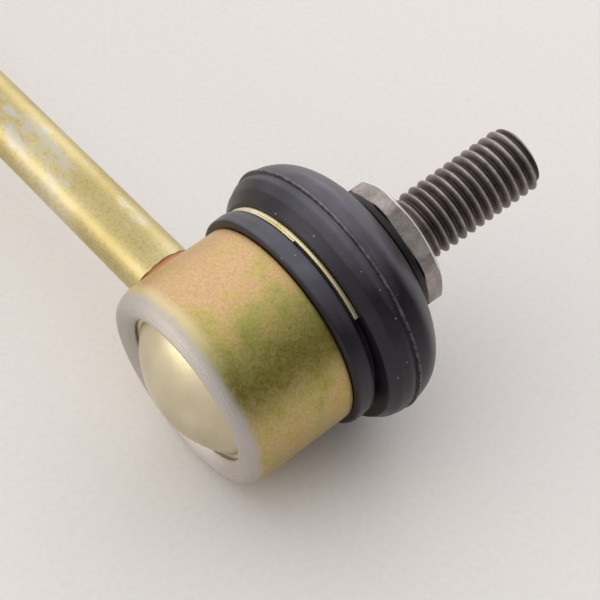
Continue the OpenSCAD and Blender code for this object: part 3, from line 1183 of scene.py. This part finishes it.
    def clip(self, joint: JointFrame) -> Piece:
        """Make the clip in the boot's groove: flat wire, cut down to a narrower tongue at its end.

        The long strip runs on as the tongue, and the short one beside it makes up the full width.
        """
        sizes = {"Radius": self.clip_radius * MM, "Start": math.radians(self.clip_start),
                 "Long Sweep": math.radians(self.clip_sweep), "Short Sweep": math.radians(self.clip_short),
                 "Width": self.clip_wide * MM, "Thickness": self.clip_thick * MM,
                 "Round": self.clip_round * MM}
        tree, given = node_tree("flat_wire_clip", sizes)
        both = put(tree, "GeometryNodeJoinGeometry")
        for sweep, side, share in (("Long Sweep", 0.18, 0.64), ("Short Sweep", -0.32, 0.34)):
            height = put(tree, "ShaderNodeMath", {0: given["Width"], 1: share}, operation="MULTIPLY")
            square = put(tree, "GeometryNodeCurvePrimitiveQuadrilateral",
                         {"Width": given["Thickness"], "Height": height})
            soft = put(tree, "GeometryNodeFilletCurve",
                       {"Curve": square, "Radius": given["Round"], "Count": 3}, mode="POLY")
            path = put(tree, "GeometryNodeCurveArc",
                       {"Resolution": 240, "Radius": given["Radius"], "Start Angle": given["Start"],
                        "Sweep Angle": given[sweep]})
            rise = put(tree, "ShaderNodeMath", {0: given["Width"], 1: side}, operation="MULTIPLY")
            aside = put(tree, "ShaderNodeCombineXYZ", {"Z": rise})
            moved = put(tree, "GeometryNodeTransform", {"Geometry": path, "Translation": aside})
            upright = put(tree, "GeometryNodeSetCurveNormal", {"Curve": moved}, mode="Z_UP")
            wire = put(tree, "GeometryNodeCurveToMesh",
                       {"Curve": upright, "Profile Curve": soft, "Fill Caps": True})
            plug(tree, both, {"Geometry": wire})
        close_tree(tree, both, CLIP_FINISH)
        place = joint.housing() @ Matrix.Translation((0.0, 0.0, self.clip_level))
        piece = grown(joint.named("flat_wire_clip"), tree, sizes, place)
        return finished(piece, "link", "clip_wire", joint.named("boot_clip"))

    def neck_wire(self, joint: JointFrame) -> Piece:
        """Make the round wire ring at the boot's neck."""
        sizes = {"Radius": self.wire_radius * MM, "Wire": self.wire * MM}
        tree, given = node_tree("neck_wire_ring", sizes)
        path = put(tree, "GeometryNodeCurvePrimitiveCircle", {"Resolution": 96, "Radius": given["Radius"]})
        round_wire = put(tree, "GeometryNodeCurvePrimitiveCircle",
                         {"Resolution": 16, "Radius": given["Wire"]})
        tube = put(tree, "GeometryNodeCurveToMesh", {"Curve": path, "Profile Curve": round_wire})
        close_tree(tree, tube, CLIP_FINISH)
        place = joint.stud() @ Matrix.Translation((0.0, 0.0, self.wire_level))
        piece = grown(joint.named("neck_wire"), tree, sizes, place)
        return finished(piece, joint.named("neck"), "clip_wire", joint.named("neck_ring"))

    def seal(self, joint: JointFrame) -> Piece:
        """Make the black sealing ring under the hexagon."""
        outline = rounded([(self.seal_bore, self.seal_low, 0.1), (self.seal_radius, self.seal_low, 0.3),
                           (self.seal_radius, self.seal_high, 0.25), (self.seal_bore, self.seal_high, 0.1)])
        piece = turned(joint.named("sealing_lip"), outline, joint.stud(), SEAL_FINISH, 160)
        return finished(piece, joint.named("neck"), "boot_rubber", joint.named("seal_ring"))


@dataclass
class BallStud:
    """The forged stud: ball, neck, shank, collar, hexagon and rolled thread."""

    ball: float = 7.5
    neck: float = 4.4
    neck_start: float = 11.0
    neck_end: float = 17.0
    shank: float = 5.4
    shank_start: float = 19.4
    collar: float = 7.9
    collar_low: float = 24.25
    hex_low: float = 24.3
    hex_high: float = 27.1
    across_flats: float = 17.0
    corner_round: float = 0.55
    chamfer: float = 0.5
    chamfer_slope: float = 0.5
    thread: float = 4.925
    pitch: float = 1.5
    depth: float = 0.92
    lead: float = 0.5
    crest: float = 0.02
    root: float = 0.46
    blank: float = 0.55
    run_out: float = 3.4
    thread_end: float = 47.0
    tip_chamfer: float = 0.85
    tip_rows: float = 0.9
    sunk: float = 0.05
    around: int = 145
    rows: int = 340
    segments: int = 240

    def hex_radius(self) -> np.ndarray:
        """Give the hexagon's radius round the axis, with its corners slightly rounded."""
        turn = round_turn(self.segments)
        sector = math.pi / 3
        sharp = self.across_flats / 2 / np.cos(np.mod(turn + sector / 2, sector) - sector / 2)
        corner = self.across_flats / 2 / math.cos(sector / 2) - self.corner_round
        return np.minimum(sharp, corner)

    def body(self, joint: JointFrame) -> Piece:
        """Make the ball, neck, shank, collar and hexagon as one forging."""
        place = joint.stud()
        start = math.degrees(math.asin(math.sqrt(self.ball ** 2 - self.neck ** 2) / self.ball))
        outline = arc(0.0, 0.0, self.ball, -90.0, start, 40)
        outline += [(self.neck, self.neck_start), (self.neck, self.neck_end),
                    (self.shank, self.shank_start), (self.shank, self.collar_low),
                    (self.collar - 0.15, self.collar_low), (self.collar, self.collar_low + 0.15)]
        rings = [ring_points(place, r, w, self.segments) for r, w in outline]
        hexagon = self.hex_radius()
        top_circle = self.across_flats / 2 - self.chamfer
        drop = np.maximum(0.0, hexagon - top_circle) * self.chamfer_slope
        for radius, level in ((self.collar, self.hex_low), (hexagon - 0.06, self.hex_low),
                              (hexagon, self.hex_low + 0.06), (hexagon, self.hex_high - drop - 0.1),
                              (hexagon, self.hex_high - drop - 0.05),
                              (hexagon - 0.05, self.hex_high - drop + 0.03),
                              (top_circle, self.hex_high), (self.thread - 0.4, self.hex_high),
                              (0.0, self.hex_high)):
            rings.append(ring_points(place, radius, level, self.segments))
        # The two rings on the hexagon's top edge carry the painted highlight.
        highlit_ring = len(outline) + 4
        marks = {STUD_FINISH.highlight_name: [float(i in (highlit_ring, highlit_ring + 1)) for i in range(len(rings))]}
        piece = skin(joint.named("stud_forging"), rings, STUD_FINISH, closed=False, sharp=28.0, marks=marks)
        return finished(piece, joint.named("stud"), "stud_steel", joint.named("ball_stud"))

    def thread_tree(self, sizes: dict[str, float]) -> Tree:
        """Make the tree that rolls a right-handed thread on a grid.

        Args:
            sizes: The tree's named inputs.

        Returns:
            The tree.
        """
        tree, given = node_tree("rolled_thread", sizes)
        grid = put(tree, "GeometryNodeMeshGrid",
                   {"Size X": 1.0, "Size Y": 1.0, "Vertices X": self.around, "Vertices Y": self.rows})
        where = put(tree, "ShaderNodeSeparateXYZ",
                    {"Vector": put(tree, "GeometryNodeInputPosition")}).outputs
        turn = put(tree, "ShaderNodeMath", {0: where["X"], 1: 0.5}, operation="ADD")
        angle = put(tree, "ShaderNodeMath", {0: turn, 1: 2 * math.pi}, operation="MULTIPLY")
        whole = put(tree, "ShaderNodeMath", {0: given["Length"], 1: given["Cap"]}, operation="ADD")
        along = put(tree, "ShaderNodeMapRange",
                    {"Value": where["Y"], "From Min": -0.5, "From Max": 0.5, "To Max": whole})
        level = put(tree, "ShaderNodeMath", {0: along, 1: given["Length"]}, operation="MINIMUM")
        turns = put(tree, "ShaderNodeMath", {0: level, 1: given["Pitch"]}, operation="DIVIDE")
        begun = put(tree, "ShaderNodeMath", {0: turn, 1: given["Lead"]}, operation="ADD")
        phase = put(tree, "ShaderNodeMath", {0: turns, 1: begun}, operation="SUBTRACT")
        aside = put(tree, "ShaderNodeMath", {0: phase, 1: 0.5}, operation="PINGPONG")
        cut = put(tree, "ShaderNodeMapRange",
                  {"Value": aside, "From Min": given["Crest"], "From Max": given["Root"]},
                  interpolation_type="SMOOTHSTEP")
        fade = put(tree, "ShaderNodeMapRange", {"Value": level, "From Max": given["Run-out"]},
                   interpolation_type="SMOOTHSTEP")
        hollow = put(tree, "ShaderNodeMix", {"Factor": fade, "A": given["Blank"], "B": cut})
        depth = put(tree, "ShaderNodeMath", {0: hollow, 1: given["Depth"]}, operation="MULTIPLY")
        radius = put(tree, "ShaderNodeMath", {0: given["Radius"], 1: depth}, operation="SUBTRACT")
        left = put(tree, "ShaderNodeMath", {0: given["Length"], 1: level}, operation="SUBTRACT")
        end = put(tree, "ShaderNodeMath", {0: given["Radius"], 1: given["Chamfer"]}, operation="SUBTRACT")
        cone = put(tree, "ShaderNodeMath", {0: end, 1: left}, operation="ADD")
        outside = put(tree, "ShaderNodeMath", {0: radius, 1: cone}, operation="MINIMUM")
        inward = put(tree, "ShaderNodeMapRange",
                     {"Value": along, "From Min": given["Length"], "From Max": whole, "To Min": 1.0,
                      "To Max": 0.0})
        shown = put(tree, "ShaderNodeMath", {0: outside, 1: inward}, operation="MULTIPLY")
        cosine = put(tree, "ShaderNodeMath", {0: angle}, operation="COSINE")
        sine = put(tree, "ShaderNodeMath", {0: angle}, operation="SINE")
        across = put(tree, "ShaderNodeMath", {0: shown, 1: cosine}, operation="MULTIPLY")
        upward = put(tree, "ShaderNodeMath", {0: shown, 1: sine}, operation="MULTIPLY")
        place = put(tree, "ShaderNodeCombineXYZ", {"X": across, "Y": upward, "Z": level})
        # The depth kept for the finish's painted root shade; the tip's cap gets none.
        thread_only = put(tree, "ShaderNodeMath", {0: inward, 1: 0.999}, operation="GREATER_THAN")
        shade = put(tree, "ShaderNodeMath", {0: hollow, 1: thread_only}, operation="MULTIPLY")
        kept = put(tree, "GeometryNodeStoreNamedAttribute",
                   {"Geometry": grid, "Name": STUD_FINISH.depth_name, "Value": shade}, data_type="FLOAT",
                   domain="POINT")
        moved = put(tree, "GeometryNodeSetPosition", {"Geometry": kept, "Position": place})
        joined = put(tree, "GeometryNodeMergeByDistance", {"Geometry": moved, "Distance": 1e-6})
        close_tree(tree, joined, STUD_FINISH)
        return tree

    def build(self, joint: JointFrame) -> list[Piece]:
        """Make the stud and its thread.

        Args:
            joint: The joint that it belongs to.

        Returns:
            Both pieces, riding on the stud.
        """
        foot = self.hex_high - self.sunk
        lengths = {"Length": self.thread_end - foot, "Cap": self.tip_rows, "Radius": self.thread,
                   "Depth": self.depth, "Pitch": self.pitch, "Run-out": self.run_out,
                   "Chamfer": self.tip_chamfer}
        sizes = {key: length * MM for key, length in lengths.items()}
        sizes |= {"Lead": self.lead, "Crest": self.crest, "Root": self.root, "Blank": self.blank}
        place = joint.stud() @ Matrix.Translation((0.0, 0.0, foot))
        thread = grown(joint.named("rolled_thread"), self.thread_tree(sizes), sizes, place, sharp=32.0)
        finished(thread, joint.named("stud"), "stud_steel")
        return [self.body(joint), thread]


@dataclass
class Studio:
    """The camera, the lamps, the surroundings and the floor."""

    focal_px: float = 1535.0
    frame_px: float = 600.0
    sensor: float = 36.0
    ball_right: float = -7.772
    ball_down: float = 6.790
    ball_ahead: float = 200.654
    floor_size: float = 6.0
    right_way: Triple = (0.644, 0.764, -0.044)
    ahead_way: Triple = (-0.467, 0.347, -0.813)
    shade_way: Triple = (0.954, 0.0, 0.3)
    room_glow: float = 1.13

    def camera(self, joint: JointFrame) -> None:
        """Place the camera by how the near joint lies in its view.

        Args:
            joint: The near joint.
        """
        ways = Matrix((joint.outward, joint.axis, joint.outward.cross(joint.axis))).transposed()
        right = (ways @ Vector(self.right_way)).normalized()
        ahead = ways @ Vector(self.ahead_way)
        ahead = (ahead - right * ahead.dot(right)).normalized()
        down = ahead.cross(right)
        seen = right * self.ball_right + down * self.ball_down + ahead * self.ball_ahead
        eye = joint.centre - seen * MM
        turn = Matrix((right, -down, -ahead)).transposed().to_4x4()
        data = bpy.data.cameras.new("studio_camera")
        data.sensor_width = self.sensor
        data.lens = self.focal_px / self.frame_px * self.sensor
        data.clip_start = 0.01
        camera = added("studio_camera", data)
        camera.matrix_world = Matrix.Translation(eye) @ turn
        bpy.context.scene.camera = camera

    def lamp(self, name: str, aim: Vector, turn: float, rise: float, size: float, glow: float,
             colour: str) -> None:
        """Hang one soft square lamp a metre from what it lights.

        Args:
            name: The lamp's name.
            aim: What it points at.
            turn: Its bearing from +X, in degrees.
            rise: Its height above the horizon, in degrees.
            size: Its width, in metres.
            glow: How bright its face is, next to a white wall in full light.
            colour: Its hex colour.
        """
        bearing, height = math.radians(turn), math.radians(rise)
        level = math.cos(height)
        place = aim + Vector((level * math.cos(bearing), level * math.sin(bearing), math.sin(height)))
        data = bpy.data.lights.new(name, "AREA")
        data.size = size
        data.energy = glow * math.pi * size * size
        data.color = linear(colour)[:3]
        lamp = added(name, data)
        lamp.location = place
        lamp.visible_camera = False
        lamp.rotation_euler = (aim - place).to_track_quat("-Z", "Y").to_euler()

    def surroundings(self) -> None:
        """Light the scene from a pale room with one shaded side."""
        world = bpy.data.worlds.new("studio_room")
        world.use_nodes = True
        tree = world.node_tree
        way = put(tree, "ShaderNodeTexCoord").outputs[Coord.GENERATED.value]
        side = put(tree, "ShaderNodeVectorMath", {0: way, 1: self.shade_way}, operation="DOT_PRODUCT")
        share = put(tree, "ShaderNodeMapRange", {"Value": side, "From Min": 1.0, "From Max": -1.0})
        room = put(tree, "ShaderNodeValToRGB", {"Fac": share},
                   stops=[(0.01, "#615f5e"), (0.04, "#767473"), (0.1, "#8a8887"), (0.19, "#b7b5b4"),
                          (0.36, "#f4f3f2"), (0.52, "#fffefd")])
        plug(tree, tree.nodes["Background"], {"Color": room, "Strength": self.room_glow})
        bpy.context.scene.world = world

    def floor(self) -> None:
        """Lay the pale floor."""
        half = self.floor_size / 2
        mesh = bpy.data.meshes.new("paper_floor")
        mesh.from_pydata([(-half, -half, 0), (half, -half, 0), (half, half, 0), (-half, half, 0)],
                         [], [(0, 1, 2, 3)])
        mesh.materials.append(FLOOR_FINISH.material())
        added("paper_floor", mesh)

    def build(self, joint: JointFrame) -> None:
        """Set up the whole studio.

        Args:
            joint: The near joint, which the camera looks at.
        """
        bpy.context.scene.view_settings.view_transform = "Standard"
        self.camera(joint)
        self.surroundings()
        self.floor()
        aim = joint.centre
        self.lamp("back_softbox", aim, turn=133.0, rise=22.0, size=0.45, glow=1.5, colour="#fffaf4")
        self.lamp("front_softbox", aim, turn=-115.0, rise=5.0, size=0.6, glow=3.0, colour="#fff8ee")


def dress_solids() -> None:
    """Give the bearing's own solids, which stay as they are, their finish."""
    for end in End:
        for name in ("lower_seat", "bearing_ring"):
            solid = frame["nodes"][f"{name}_{end.value}"]
            solid.data.materials.clear()
            solid.data.materials.append(BEARING_FINISH.material())


def main() -> None:
    """Build the link's looks, piece by piece."""
    logging.basicConfig(level=logging.INFO, format="%(message)s")
    near, far = JointFrame(End.NEAR), JointFrame(End.FAR)
    Studio().build(near)
    Rod().build(near, far)
    for joint in (near, far):
        Weld().build(joint)
        Housing().build(joint)
        DustBoot().build(joint)
        BallStud().build(joint)
    dress_solids()


if __name__ == "__main__":
    main()
